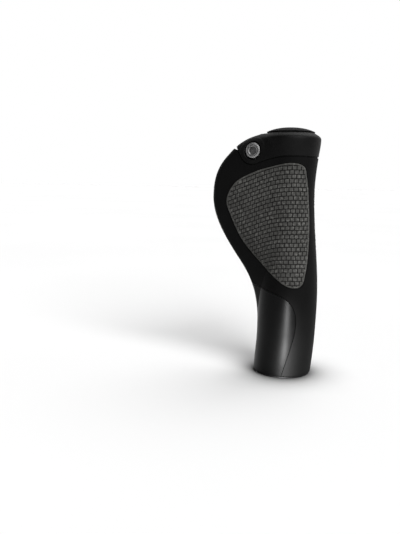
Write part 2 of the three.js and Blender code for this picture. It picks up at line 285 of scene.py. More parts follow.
class GRIP_PG_stage(PropertyGroup):
    """Light and floor."""

    key_strength: FloatProperty(
        name="Key light", description="Strength of the wide soft sun from the right",
        min=0, max=20, default=3.8)
    key_azimuth: FloatProperty(
        name="Key azimuth", description="Direction of the key light, from the front to the right",
        subtype="ANGLE", default=math.radians(35))
    key_elevation: FloatProperty(
        name="Key elevation", description="Height of the key light above the floor",
        subtype="ANGLE", default=math.radians(33))
    key_spread: FloatProperty(
        name="Key spread", description="How wide the key light looks, which softens its shadows",
        subtype="ANGLE", min=0, max=math.pi, default=math.radians(44))
    top_strength: FloatProperty(
        name="Top light", description="Strength of the wide soft sun high up behind the grip",
        min=0, max=20, default=1.2)
    strip_power: FloatProperty(
        name="Strip light", description="Power in watts of the small low lamp that makes the highlight",
        min=0, max=1, precision=4, default=0.11)
    strip_azimuth: FloatProperty(
        name="Strip azimuth", description="Direction of the small lamp, from the front to the right",
        subtype="ANGLE", default=math.radians(2))
    fill: FloatProperty(
        name="Fill", description="Strength of the light from behind and above", min=0, max=5, default=0.5)


SETTINGS = {
    "grip_rubber": GRIP_PG_rubber,
    "grip_pad": GRIP_PG_pad,
    "grip_metal": GRIP_PG_metal,
    "grip_stage": GRIP_PG_stage,
}


# The grip's skin, in millimetres

def profile(knots):
    """A smooth curve through knots of height, value and slope."""
    z_knots, values, slopes = (np.array(column, float) for column in zip(*knots))

    def value_at(z):
        z = np.asarray(z, float)
        i = np.clip(np.searchsorted(z_knots, z) - 1, 0, len(z_knots) - 2)
        span = z_knots[i + 1] - z_knots[i]
        t = np.clip((z - z_knots[i]) / span, 0, 1)
        rise = t * t * (3 - 2 * t)
        leave = t * (1 - t) ** 2 * span * slopes[i]
        arrive = t * t * (t - 1) * span * slopes[i + 1]
        return values[i] + (values[i + 1] - values[i]) * rise + leave + arrive

    return value_at


outer_side = profile(OUTER_KNOTS)
inner_side = profile(INNER_KNOTS)
wing_edge = profile(WING_KNOTS)


def smoothstep(value, low, high):
    """0 below low, 1 above high, and a soft rise between them."""
    t = np.clip((value - low) / (high - low), 0, 1)
    return t * t * (3 - 2 * t)


def taper_field(x, y, ax, ay, ar, bx, by, br):
    """Signed distance to two circles and the straight sides that wrap them."""
    length = np.hypot(bx - ax, by - ay)
    along = ((x - ax) * (bx - ax) + (y - ay) * (by - ay)) / length
    across = np.abs((x - ax) * (by - ay) - (y - ay) * (bx - ax)) / length
    lean = (ar - br) / length
    upright = np.sqrt(1 - lean * lean)
    side = along * upright - across * lean
    flank = across * upright + along * lean - ar
    root = np.hypot(along, across) - ar
    tip = np.hypot(along - length, across) - br
    return np.where(side < 0, root, np.where(side > upright * length, tip, flank))


def skin_field(x, y, z):
    """Signed distance to the outer skin at a height: the sleeve joined to the wing."""
    out = outer_side(z)
    inner = inner_side(z)
    sleeve_x = (out - inner) / 2
    sleeve_r = (out + inner) / 2
    drop = sleeve_r - WING_ROOT_RADIUS
    root_x = sleeve_x - drop * math.sin(WING_ROOT_TURN)
    root_y = -drop * math.cos(WING_ROOT_TURN)
    reach = np.maximum(wing_edge(z), inner)
    sleeve = np.hypot(x - sleeve_x, y) - sleeve_r
    wing = taper_field(
        x, y, root_x, root_y, WING_ROOT_RADIUS,
        WING_EDGE_RADIUS - reach, WING_EDGE_SETBACK, WING_EDGE_RADIUS)
    underside = smoothstep(y, -1, WING_EDGE_RADIUS)
    spread = smoothstep(reach - inner, 0, 2 * UNDERSIDE_FILLET)
    least_fillet = 1e-6
    fillet = UNDERSIDE_FILLET * underside * spread + least_fillet
    mix = np.maximum(fillet - np.abs(sleeve - wing), 0) / fillet
    return np.minimum(sleeve, wing) - mix * mix * fillet / 4


def bisect(is_inside, inside, outside, halvings=28):
    """The distance at which a ray leaves the skin, for whole arrays of rays."""
    for _ in range(halvings):
        middle = (inside + outside) / 2
        within = is_inside(middle)
        inside = np.where(within, middle, inside)
        outside = np.where(within, outside, middle)
    return inside


def skin_rings(heights, columns, offset=0.0):
    """Outlines of the skin at each height, with their points closer together where they bend."""
    rays = 720
    bend_weight = 4
    angle = np.linspace(0, 2 * math.pi, rays + 1)[None, :]
    z = np.asarray(heights, float)[:, None]
    cos, sin = np.cos(angle), np.sin(angle)
    shape = (len(heights), rays + 1)
    radius = bisect(
        lambda r: skin_field(r * cos, r * sin, z) < offset, np.zeros(shape), np.full(shape, REACH_LIMIT))
    traced = np.stack([radius * cos, radius * sin], -1)
    step = np.diff(traced, axis=1)
    following = np.roll(step, -1, axis=1)
    cross = step[..., 0] * following[..., 1] - step[..., 1] * following[..., 0]
    dot = (step * following).sum(-1)
    weight = np.hypot(step[..., 0], step[..., 1]) + bend_weight * np.abs(np.arctan2(cross, dot))
    measure = np.concatenate([np.zeros((len(heights), 1)), np.cumsum(weight, axis=1)], axis=1)
    rings = []
    for row, total in zip(range(len(heights)), measure[:, -1]):
        at = total * np.arange(columns) / columns
        x = np.interp(at, measure[row], traced[row, :, 0])
        y = np.interp(at, measure[row], traced[row, :, 1])
        rings.append(np.stack([x, y, np.full(columns, heights[row])], -1))
    return np.array(rings)


def palm_y(x, z, offset):
    """Y of the palm side at a place in X and height, on the skin grown by an offset."""
    x, z, offset = np.broadcast_arrays(np.asarray(x, float), z, offset)
    middle = np.full(x.shape, WING_EDGE_SETBACK)
    outside = np.full(x.shape, -REACH_LIMIT)
    return bisect(lambda y: skin_field(x, y, z) < offset, middle, outside)


def palm_points(outline, offset):
    """Points of an X and height outline laid on the palm side."""
    outline = np.asarray(outline, float)
    y = palm_y(outline[:, 0], outline[:, 1], offset)
    return np.stack([outline[:, 0], y, outline[:, 1]], -1)


def pad_outline(grow, count=256):
    """The palm pad's outline in X and height, grown by a gap all round."""
    corners = np.array([(x, RUBBER_TOP - below) for x, below in PAD_CORNERS])
    steps = 32
    dense = []
    for i in range(len(corners)):
        a, b, c, d = (corners[(i + k) % len(corners)] for k in (-1, 0, 1, 2))
        before, here, after = (np.sqrt(np.linalg.norm(q - p)) for p, q in ((a, b), (b, c), (c, d)))
        leave = here * ((b - a) / before - (c - a) / (before + here) + (c - b) / here)
        arrive = here * ((c - b) / here - (d - b) / (here + after) + (d - c) / after)
        for t in np.arange(0, 1, 1 / steps):
            blend = (2 * t ** 3 - 3 * t ** 2 + 1) * b + (3 * t ** 2 - 2 * t ** 3) * c
            dense.append(blend + (t ** 3 - 2 * t ** 2 + t) * leave + (t ** 3 - t ** 2) * arrive)
    dense = np.array(dense + dense[:1])
    run = np.concatenate([[0], np.cumsum(np.hypot(*np.diff(dense, axis=0).T))])
    at = run[-1] * np.arange(count) / count
    points = np.stack([np.interp(at, run, dense[:, 0]), np.interp(at, run, dense[:, 1])], -1)
    along = np.roll(points, -1, axis=0) - np.roll(points, 1, axis=0)
    along /= np.hypot(along[:, 0], along[:, 1])[:, None]
    return points + grow * np.stack([along[:, 1], -along[:, 0]], -1)


# Mesh making

def link(name, data):
    """An object in the scene that holds a mesh, a light or a camera."""
    obj = bpy.data.objects.new(name, data)
    bpy.context.scene.collection.objects.link(obj)
    return obj


def make_object(name, points, faces):
    """A mesh object from points in millimetres."""
    mesh = bpy.data.meshes.new(name)
    mesh.from_pydata((np.asarray(points, float) * MM).tolist(), [], faces)
    mesh.validate()
    mesh.shade_smooth()
    return link(name, mesh)


def mesh_points(obj):
    """All of an object's points, in millimetres."""
    flat = np.empty(len(obj.data.vertices) * 3)
    obj.data.vertices.foreach_get("co", flat)
    return flat.reshape(-1, 3) / MM


def store_values(obj, name, values):
    """Keeps a value for each of an object's points, for its material to read."""
    attribute = obj.data.attributes.new(name, "FLOAT", "POINT")
    attribute.data.foreach_set("value", values.astype(np.float32))


def stacked(name, rings, close=False):
    """A closed solid through equal rings: capped at both ends, or joined end to end."""
    rings = np.asarray(rings, float)
    rows, columns = rings.shape[:2]
    points = rings.reshape(-1, 3)
    spans = rows if close else rows - 1
    faces = []
    for row in range(spans):
        low = row * columns
        high = ((row + 1) % rows) * columns
        for k in range(columns):
            after = (k + 1) % columns
            faces.append((low + k, low + after, high + after, high + k))
    if not close:
        foot = len(points)
        points = np.vstack([points, rings[0].mean(0), rings[-1].mean(0)])
        last = (rows - 1) * columns
        for k in range(columns):
            after = (k + 1) % columns
            faces.append((foot, after, k))
            faces.append((foot + 1, last + k, last + after))
    return make_object(name, points, faces)


def circle(radius, z, segments):
    """Points of a level circle around the bar axis."""
    angle = 2 * math.pi * np.arange(segments) / segments
    return np.stack([radius * np.cos(angle), radius * np.sin(angle), np.full(segments, z)], -1)


def turned(name, corners, segments=128):
    """A solid turned around the bar axis from radius and height corners that close on themselves."""
    return stacked(name, [circle(radius, z, segments) for radius, z in corners], close=True)


def spindle(name, corners, segments=128):
    """A solid turned around the bar axis whose corners begin and end on the axis."""
    obj = stacked(name, [circle(radius, z, segments) for radius, z in corners[1:-1]])
    obj.data.vertices[len(obj.data.vertices) - 2].co = (0, 0, corners[0][1] * MM)
    obj.data.vertices[len(obj.data.vertices) - 1].co = (0, 0, corners[-1][1] * MM)
    return obj


def rod(name, radius, low, high, segments=128):
    """A plain round bar along Z."""
    return spindle(name, [(0, low), (radius, low), (radius, high), (0, high)], segments)


def slab(name, outline, front, back):
    """An X and height outline pushed through along Y."""
    outline = np.asarray(outline, float)
    count = len(outline)
    layers = [np.stack([outline[:, 0], np.full(count, y), outline[:, 1]], -1) for y in (back, front)]
    faces = [(k, (k + 1) % count, count + (k + 1) % count, count + k) for k in range(count)]
    faces += [tuple(reversed(range(count))), tuple(range(count, 2 * count))]
    return make_object(name, np.vstack(layers), faces)


def block(name, low, high):
    """A box between two corners."""
    corners = [(low[0], low[2]), (high[0], low[2]), (high[0], high[2]), (low[0], high[2])]
    return slab(name, corners, low[1], high[1])


def move_points(obj, change):
    """Applies a function to all of an object's points, in millimetres."""
    points = change(mesh_points(obj))
    obj.data.vertices.foreach_set("co", (points * MM).ravel())
    obj.data.update()
    return obj


def spun(points, angle):
    """Points turned about the bar axis."""
    x, y, z = points.T
    cos, sin = math.cos(angle), math.sin(angle)
    return np.stack([x * cos - y * sin, x * sin + y * cos, z], -1)


def along_bolt(points):
    """Turns points about the bar axis so that what faced -Y faces the way the bolt points."""
    return spun(points, -BOLT_TURN)


def on_bolt(points):
    """Lays points that stand along Z onto the bolt's axis, with Z as the distance towards the palm side."""
    x, y, z = points.T
    return along_bolt(np.stack([x - BOLT_OFFSET, -z, y + BOLT_HEIGHT], -1))


def bake(obj):
    """Turns an object and its modifiers into a plain mesh."""
    depsgraph = bpy.context.evaluated_depsgraph_get()
    mesh = bpy.data.meshes.new_from_object(obj.evaluated_get(depsgraph))
    obj.modifiers.clear()
    old = obj.data
    obj.data = mesh
    bpy.data.meshes.remove(old)
    return obj


def combine(obj, tool, operation="DIFFERENCE"):
    """Cuts or joins an object with another one, which is then removed."""
    modifier = obj.modifiers.new(operation.title(), "BOOLEAN")
    modifier.operation = operation
    modifier.solver = "MANIFOLD"
    modifier.object = tool
    bake(obj)
    bpy.data.objects.remove(tool)
    return obj


def outward(obj):
    """Points an object's faces outwards."""
    shell = bmesh.new()
    shell.from_mesh(obj.data)
    bmesh.ops.recalc_face_normals(shell, faces=shell.faces)
    shell.to_mesh(obj.data)
    shell.free()
    return obj


def finish_piece(obj, name, material, node, edge_angle=35):
    """Names a piece, gives it its material, and ties it to the frame."""
    obj.name = name
    obj.data.name = name
    obj.data.materials.clear()
    obj.data.materials.append(material)
    obj.data.shade_smooth()
    obj.data.set_sharp_from_angle(angle=math.radians(edge_angle))
    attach(obj, "root")
    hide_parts(node)
    return obj


# Node building

class Wire:
    """A node's output that can be summed, scaled and compared like a number."""

    def __init__(self, graph, socket):
        self.graph = graph
        self.socket = socket

    def math(self, operation, first, second=None):
        sockets = {0: first} if second is None else {0: first, 1: second}
        return self.graph.node("ShaderNodeMath", {"operation": operation}, sockets)

    def __add__(self, other):
        return self.math("ADD", self, other)

    def __radd__(self, other):
        return self.math("ADD", other, self)

    def __sub__(self, other):
        return self.math("SUBTRACT", self, other)

    def __rsub__(self, other):
        return self.math("SUBTRACT", other, self)

    def __mul__(self, other):
        return self.math("MULTIPLY", self, other)

    def __rmul__(self, other):
        return self.math("MULTIPLY", other, self)

    def __truediv__(self, other):
        return self.math("DIVIDE", self, other)


class Graph:
    """The nodes of one material, world or modifier."""

    def __init__(self, tree):
        self.tree = tree
        tree.nodes.clear()

    def node(self, kind, settings=None, sockets=None, output=0):
        """Adds a node: its settings first, then values and wires for its sockets."""
        made = self.tree.nodes.new(kind)
        for name, value in (settings or {}).items():
            setattr(made, name, value)
        for key, value in (sockets or {}).items():
            if isinstance(value, Wire):
                self.tree.links.new(value.socket, made.inputs[key])
            else:
                made.inputs[key].default_value = value
        return Wire(self, made.outputs[output]) if made.outputs else made

    def other(self, wire, output):
        """Another output of the node a wire comes from."""
        return Wire(self, wire.socket.node.outputs[output])

    def mix_colour(self, share, low, high):
        """Blends two colours, from the first at 0 to the second at 1."""
        return self.node(
            "ShaderNodeMix", {"data_type": "RGBA"}, {0: share, 6: low, 7: high}, output=2)

    def cloudy(self, pattern, colour, dark, light):
        """A colour that drifts between a darker and a lighter share of itself."""
        dark, light = scaled(colour, dark), scaled(colour, light)
        return self.mix_colour(self.span(pattern, 0.35, 0.65, 0, 1), dark, light)

    def span(self, wire, low, high, to_low, to_high):
        """Maps a value's range smoothly onto another one."""
        return self.node(
            "ShaderNodeMapRange", {"interpolation_type": "SMOOTHSTEP"},
            {0: wire, 1: low, 2: high, 3: to_low, 4: to_high})

    def noise(self, size, detail=2.0, stretch=(1, 1, 1), offset=(0, 0, 0)):
        """Noise in the object's own metres, with features about a size across."""
        place = self.node("ShaderNodeTexCoord", output="Object")
        place = self.node(
            "ShaderNodeMapping", None, {"Vector": place, "Location": offset, "Scale": stretch})
        return self.node("ShaderNodeTexNoise", None, {
            "Vector": place, "Scale": 1 / size, "Detail": detail, "Roughness": 0.55})

    def seen(self):
        """1 for rays that show the background straight, and 1 for those that mirror or pass it on."""
        straight = self.node("ShaderNodeLightPath", output="Is Camera Ray")
        passed_on = self.other(straight, "Is Glossy Ray") + self.other(straight, "Is Transmission Ray")
        return straight, passed_on

    def bump(self, height, distance, normal=None):
        """Fine relief of a height in metres, laid over another normal or the plain one."""
        sockets = {"Height": height, "Distance": distance, "Strength": 1.0}
        if normal is not None:
            sockets["Normal"] = normal
        return self.node("ShaderNodeBump", None, sockets)


def scaled(colour, factor):
    """A colour made lighter or darker, with an alpha of 1."""
    return (*(min(1, channel * factor) for channel in colour), 1)


def grey(level):
    """A neutral colour."""
    return scaled((1, 1, 1), level)


def surface(name):
    """An empty material and its graph."""
    material = bpy.data.materials.new(name)
    material.use_nodes = True
    return material, Graph(material.node_tree)


def close_surface(graph, sockets):
    """Ends a material in one principled shader."""
    shader = graph.node("ShaderNodeBsdfPrincipled", None, sockets)
    graph.node("ShaderNodeOutputMaterial", None, {"Surface": shader})


def rubber_material(name, colour, roughness, grain, grain_height=0.00003, gloss=0.06, relief=False):
    """Moulded rubber: fine grain, soft patches of wear, specks of dust, and painted shade on the ground
    between tiles.
    """
    material, graph = surface(name)
    fine = graph.noise(grain, 3)
    patches = graph.noise(0.012, 3, offset=(0.3, 0.1, 0.2))
    specks = graph.noise(grain * 1.7, 1, offset=(1.1, 0.7, 0.2))
    pits, dust = scaled(colour, 0.45), scaled(colour, 3.2)
    tone = graph.cloudy(patches, colour, 0.86, 1.14)
    tone = graph.mix_colour(graph.span(fine, 0.3, 0.7, 0.35, 0), tone, pits)
    tone = graph.mix_colour(graph.span(specks, 0.68, 0.8, 0, 0.35), tone, dust)
    if relief:
        level = graph.node("ShaderNodeAttribute", {"attribute_name": "relief"}, output="Fac")
        blotches = graph.noise(0.0011, 1, offset=(0.6, 0.2, 0.8))
        dull, rubbed, ground = scaled(colour, 0.55), scaled(colour, 1.9), scaled(colour, 0.1)
        tone = graph.mix_colour(graph.span(blotches, 0.35, 0.65, 0.55, 0), tone, dull)
        tone = graph.mix_colour(graph.span(blotches, 0.55, 0.72, 0, 0.6), tone, rubbed)
        # Painted shade: the lower a point lies between the tiles, the darker its colour.
        tone = graph.mix_colour(graph.span(level, 0.1, 0.9, 0.9, 0), tone, ground)
    rough = roughness + 0.10 * (patches - 0.5) + 0.12 * (fine - 0.5)
    normal = graph.bump(fine, grain_height)
    normal = graph.bump(graph.noise(grain * 6, 2), grain_height * 1.5, normal=normal)
    close_surface(graph, {
        "Base Color": tone, "Roughness": rough, "Normal": normal, "Specular IOR Level": gloss})
    return material


def coated_material(name, colour, roughness=0.5, grain=0.0005, height=0.00002, gloss=0.08):
    """Matte coating on metal, or moulded plastic: an even fine grain with faint handling marks."""
    material, graph = surface(name)
    fine = graph.noise(grain, 2)
    patches = graph.noise(0.009, 3, offset=(0.4, 0.9, 0.1))
    rubbed = graph.noise(0.0016, 4, stretch=(1, 1, 0.15), offset=(0.7, 0.2, 0.5))
    tone = graph.cloudy(patches, colour, 0.85, 1.2)
    tone = graph.mix_colour(graph.span(rubbed, 0.6, 0.75, 0, 0.3), tone, scaled(colour, 2.4))
    rough = roughness + 0.12 * (patches - 0.5) + 0.10 * (fine - 0.5)
    normal = graph.bump(fine, height)
    close_surface(graph, {
        "Base Color": tone, "Roughness": rough, "Normal": normal, "Specular IOR Level": gloss})
    return material


def steel_material(name, colour):
    """Plated steel: fine scratches, cloudy plating, and hollows that are rougher and darkened as painted
    shade.
    """
    material, graph = surface(name)
    scratches = graph.noise(0.00035, 4, stretch=(1, 1, 0.12))
    clouds = graph.noise(0.0022, 3, offset=(0.2, 0.5, 0.9))
    tone = graph.cloudy(clouds, colour, 0.8, 1.15)
    painted_hollow_shade = graph.node("ShaderNodeAttribute", {"attribute_name": "painted_hollow_shade"}, output="Fac")
    # Painted shade: the socket and the ring groove's floor are darkened.
    tone = graph.mix_colour(painted_hollow_shade * 0.85, tone, scaled(colour, 0.1))
    rough = 0.52 + 0.14 * (clouds - 0.5) + 0.16 * (scratches - 0.5) + 0.25 * painted_hollow_shade
    normal = graph.bump(scratches, 0.00002)
    close_surface(graph, {"Base Color": tone, "Roughness": rough, "Metallic": 1.0, "Normal": normal})
    return material


# Spaces that part the pieces, as outlines in X and height

def clamp_outline(grow):
    """The space of the clamp ring, in the bolt's frame, around its boss."""
    foot = RUBBER_TOP - grow
    radius = BOSS_RADIUS + grow
    edge_x = radius * math.cos(BOSS_BLEND_ANGLE) - BOLT_OFFSET
    edge_z = radius * math.sin(BOSS_BLEND_ANGLE) + BOLT_HEIGHT
    corner_x = edge_x - (foot - edge_z) * math.tan(BOSS_BLEND_ANGLE)
    blend_steps, boss_steps = 12, 48
    points = [(REACH_LIMIT, foot)]
    for t in np.linspace(0, 1, blend_steps + 1)[:-1]:
        a, b, c = (1 - t) ** 2, 2 * t * (1 - t), t * t
        x = a * (corner_x + BOSS_BLEND) + b * corner_x + c * edge_x
        points.append((x, (a + b) * foot + c * edge_z))
    for angle in np.linspace(BOSS_BLEND_ANGLE, BOSS_SEAM_ANGLE, boss_steps + 1):
        points.append((radius * math.cos(angle) - BOLT_OFFSET, radius * math.sin(angle) + BOLT_HEIGHT))
    seam_x, seam_z = points[-1]
    seam_x += REACH_LIMIT * math.sin(BOSS_SEAM_ANGLE)
    seam_z -= REACH_LIMIT * math.cos(BOSS_SEAM_ANGLE)
    return [*points, (seam_x, seam_z), (REACH_LIMIT, RIM_TOP + REACH_LIMIT)]


def bezier(a, b, c, d, count=24):
    """Points along a cubic curve, without its last one."""
    t = np.linspace(0, 1, count + 1)[:-1, None]
    a, b, c, d = (np.array(p, float) for p in (a, b, c, d))
    return ((1 - t) ** 3 * a + 3 * t * (1 - t) ** 2 * b + 3 * t * t * (1 - t) * c + t ** 3 * d).tolist()


def finger_outline(grow):
    """The space of the finger zone."""
    far = REACH_LIMIT
    foot_x = FINGER_FOOT_X + grow
    bulge_x, bulge_z = FINGER_BULGE[0] + grow, FINGER_BULGE[1]
    top_x, top_z = FINGER_TOP[0], FINGER_TOP[1] + grow
    climb = bulge_z / 2
    turn = (top_z - bulge_z) / 2
    below = -1
    points = [(-far, below), (foot_x, below)]
    points += bezier(
        (foot_x, 0), (foot_x + FINGER_FOOT_SLOPE * climb, climb),
        (bulge_x, bulge_z - climb / 2), (bulge_x, bulge_z))
    points += bezier(
        (bulge_x, bulge_z), (bulge_x, bulge_z + turn),
        (top_x + turn, top_z - FINGER_TOP_RISE * turn), (top_x, top_z))
    points += [(top_x, top_z), (-far, top_z + FINGER_TOP_RISE * (far + top_x))]
    return points


def clamp_space(grow):
    """What the clamp ring may fill, as a solid."""
    tool = slab("clamp space", clamp_outline(grow), REACH_LIMIT, -REACH_LIMIT)
    return outward(move_points(tool, along_bolt))


def seam_notch():
    """A small open wedge where the lug's seam runs out over the edge of the wing."""
    x, z = NOTCH_POINT
    corners = [(x, z)]
    for angle in (NOTCH_TURN - NOTCH_HALF_ANGLE, NOTCH_TURN + NOTCH_HALF_ANGLE):
        corners.append((x + NOTCH_REACH * math.cos(angle), z + NOTCH_REACH * math.sin(angle)))
    return outward(slab("seam notch", corners, REACH_LIMIT, -REACH_LIMIT))


def finger_space(grow):
    """What the finger zone may fill, as a solid."""
    return outward(slab("finger space", finger_outline(grow), REACH_LIMIT, -REACH_LIMIT))


def skin_solid(name, low, high, rows, columns=240, offset=0.0):
    """The grip's whole skin between two heights as one solid."""
    return outward(stacked(name, skin_rings(np.linspace(low, high, rows), columns, offset)))


def pad_block(name, grow, high, low, edge=0.0):
    """A block inside the pad's outline between two offsets from the palm side, its front edge rounded."""
    centre = np.array(PAD_CENTRE)
    edge_steps, inner_rings = 6, 44
    front = []
    for angle in np.linspace(0, math.pi / 2, edge_steps) if edge else [math.pi / 2]:
        outline = pad_outline(grow - edge * (1 - math.cos(angle)))
        front.append(palm_points(outline, high - edge * (1 - math.sin(angle))))
    inner = pad_outline(grow - edge)
    outer = pad_outline(grow)
    back = [palm_points(outer, low)]
    for share in np.linspace(0.97, 0.02, inner_rings):
        front.append(palm_points(centre + (inner - centre) * share, high))
        back.append(palm_points(centre + (outer - centre) * share, low))
    return outward(stacked(name, [*reversed(back), *front]))


def bolt_rod(name, radius, near, far):
    """A round bar along the bolt's axis."""
    return outward(move_points(rod(name, radius, near, far, 96), on_bolt))


def bar_room(segments=128):
    """The bore through everything that sits on the sleeve."""
    return outward(rod("bore", OUTER_BORE, -2, RIM_TOP + 2, segments))


def boss_surface():
    """Distance along the bolt's direction at which its axis leaves the skin."""
    reach = np.linspace(0, REACH_LIMIT, 8001)
    points = on_bolt(np.stack([0 * reach, 0 * reach, reach], -1))
    inside = skin_field(points[:, 0], points[:, 1], points[:, 2]) < 0
    return float(reach[np.nonzero(inside)[0].max()])


BOSS_FACE = boss_surface() + BOSS_PROUD
HEAD_FACE = BOSS_FACE - HEAD_SINK
HEAD_SEAT = HEAD_FACE - HEAD_HEIGHT


# Operators, one for each piece and one for the stage

class GripOperator:
    """What the grip's operators share."""

    bl_options = {"REGISTER", "UNDO"}

    @property
    def rubber(self):
        return bpy.context.scene.grip_rubber

    @property
    def metal(self):
        return bpy.context.scene.grip_metal


class GRIP_OT_core(GripOperator, Operator):
    """Builds the hard inner sleeve with its flange and slots"""

    bl_idname = "grip.core"
    bl_label = "Inner Sleeve"

    def execute(self, context):
        edge = CORE_EDGE
        lower, upper = 40, 80
        obj = outward(turned("core", [
            (BORE_RADIUS + edge, 0), (FLANGE_RADIUS - edge, 0), (FLANGE_RADIUS, edge),
            (FLANGE_RADIUS, FLANGE_THICKNESS - edge), (FLANGE_RADIUS - edge, FLANGE_THICKNESS),
            (CORE_RADIUS, FLANGE_THICKNESS), (CORE_RADIUS, lower), (CORE_RADIUS, upper),
            (CORE_RADIUS, RIM_TOP - edge), (CORE_RADIUS - edge, RIM_TOP),
            (BORE_RADIUS + edge, RIM_TOP), (BORE_RADIUS, RIM_TOP - edge),
            (BORE_RADIUS, upper), (BORE_RADIUS, lower), (BORE_RADIUS, edge)], 192))
        for turn in (45, 135):
            slot = block("slot", (-FLANGE_RADIUS, -CORE_SLOT_WIDTH / 2, RIM_TOP - CORE_SLOT_LENGTH),
                         (FLANGE_RADIUS, CORE_SLOT_WIDTH / 2, RIM_TOP + CORE_SLOT_LENGTH))
            move_points(slot, lambda points: spun(points, math.radians(turn)))
            combine(obj, outward(slot))
        material = coated_material("Sleeve plastic", (0.012, 0.012, 0.0125), 0.42, 0.0006)
        finish_piece(obj, "inner_sleeve", material, "core_sleeve")
        return {"FINISHED"}


class GRIP_OT_body(GripOperator, Operator):
    """Builds the rubber body with its wing and the pocket for the palm pad"""

    bl_idname = "grip.body"
    bl_label = "Body"

    def execute(self, context):
        above = 3
        obj = skin_solid("body", RUBBER_FOOT, CLAMP_TOP, 200)
        combine(obj, clamp_space(GROOVE_WIDTH))
        under = skin_solid("under", RUBBER_TOP - 40, CLAMP_TOP, 80, offset=-GROOVE_DEPTH)
        combine(under, clamp_space(CLOSED_GAP))
        combine(obj, under, "UNION")
        combine(obj, seam_notch())
        combine(obj, bar_room())
        combine(obj, finger_space(SEAT_GAP))
        combine(obj, pad_block("pocket", SEAT_GAP, above, -PAD_DEPTH - SEAT_GAP))
        material = rubber_material(
            "Body rubber", self.rubber.body_colour, self.rubber.body_roughness, self.rubber.grain)
        finish_piece(obj, "rubber_body", material, "grip_body")
        return {"FINISHED"}


class GRIP_OT_finger(GripOperator, Operator):
    """Builds the smoother rubber that the fingers wrap"""

    bl_idname = "grip.finger"
    bl_label = "Finger Zone"

    def execute(self, context):
        obj = skin_solid("finger", RUBBER_FOOT, FINGER_TOP[1] + 30, 150)
        combine(obj, bar_room())
        combine(obj, finger_space(0), "INTERSECT")
        material = rubber_material(
            "Finger rubber", self.rubber.finger_colour, self.rubber.finger_roughness,
            self.rubber.grain * 0.8, 0.000006, gloss=0.08)
        finish_piece(obj, "finger_shell", material, "finger_zone")
        return {"FINISHED"}


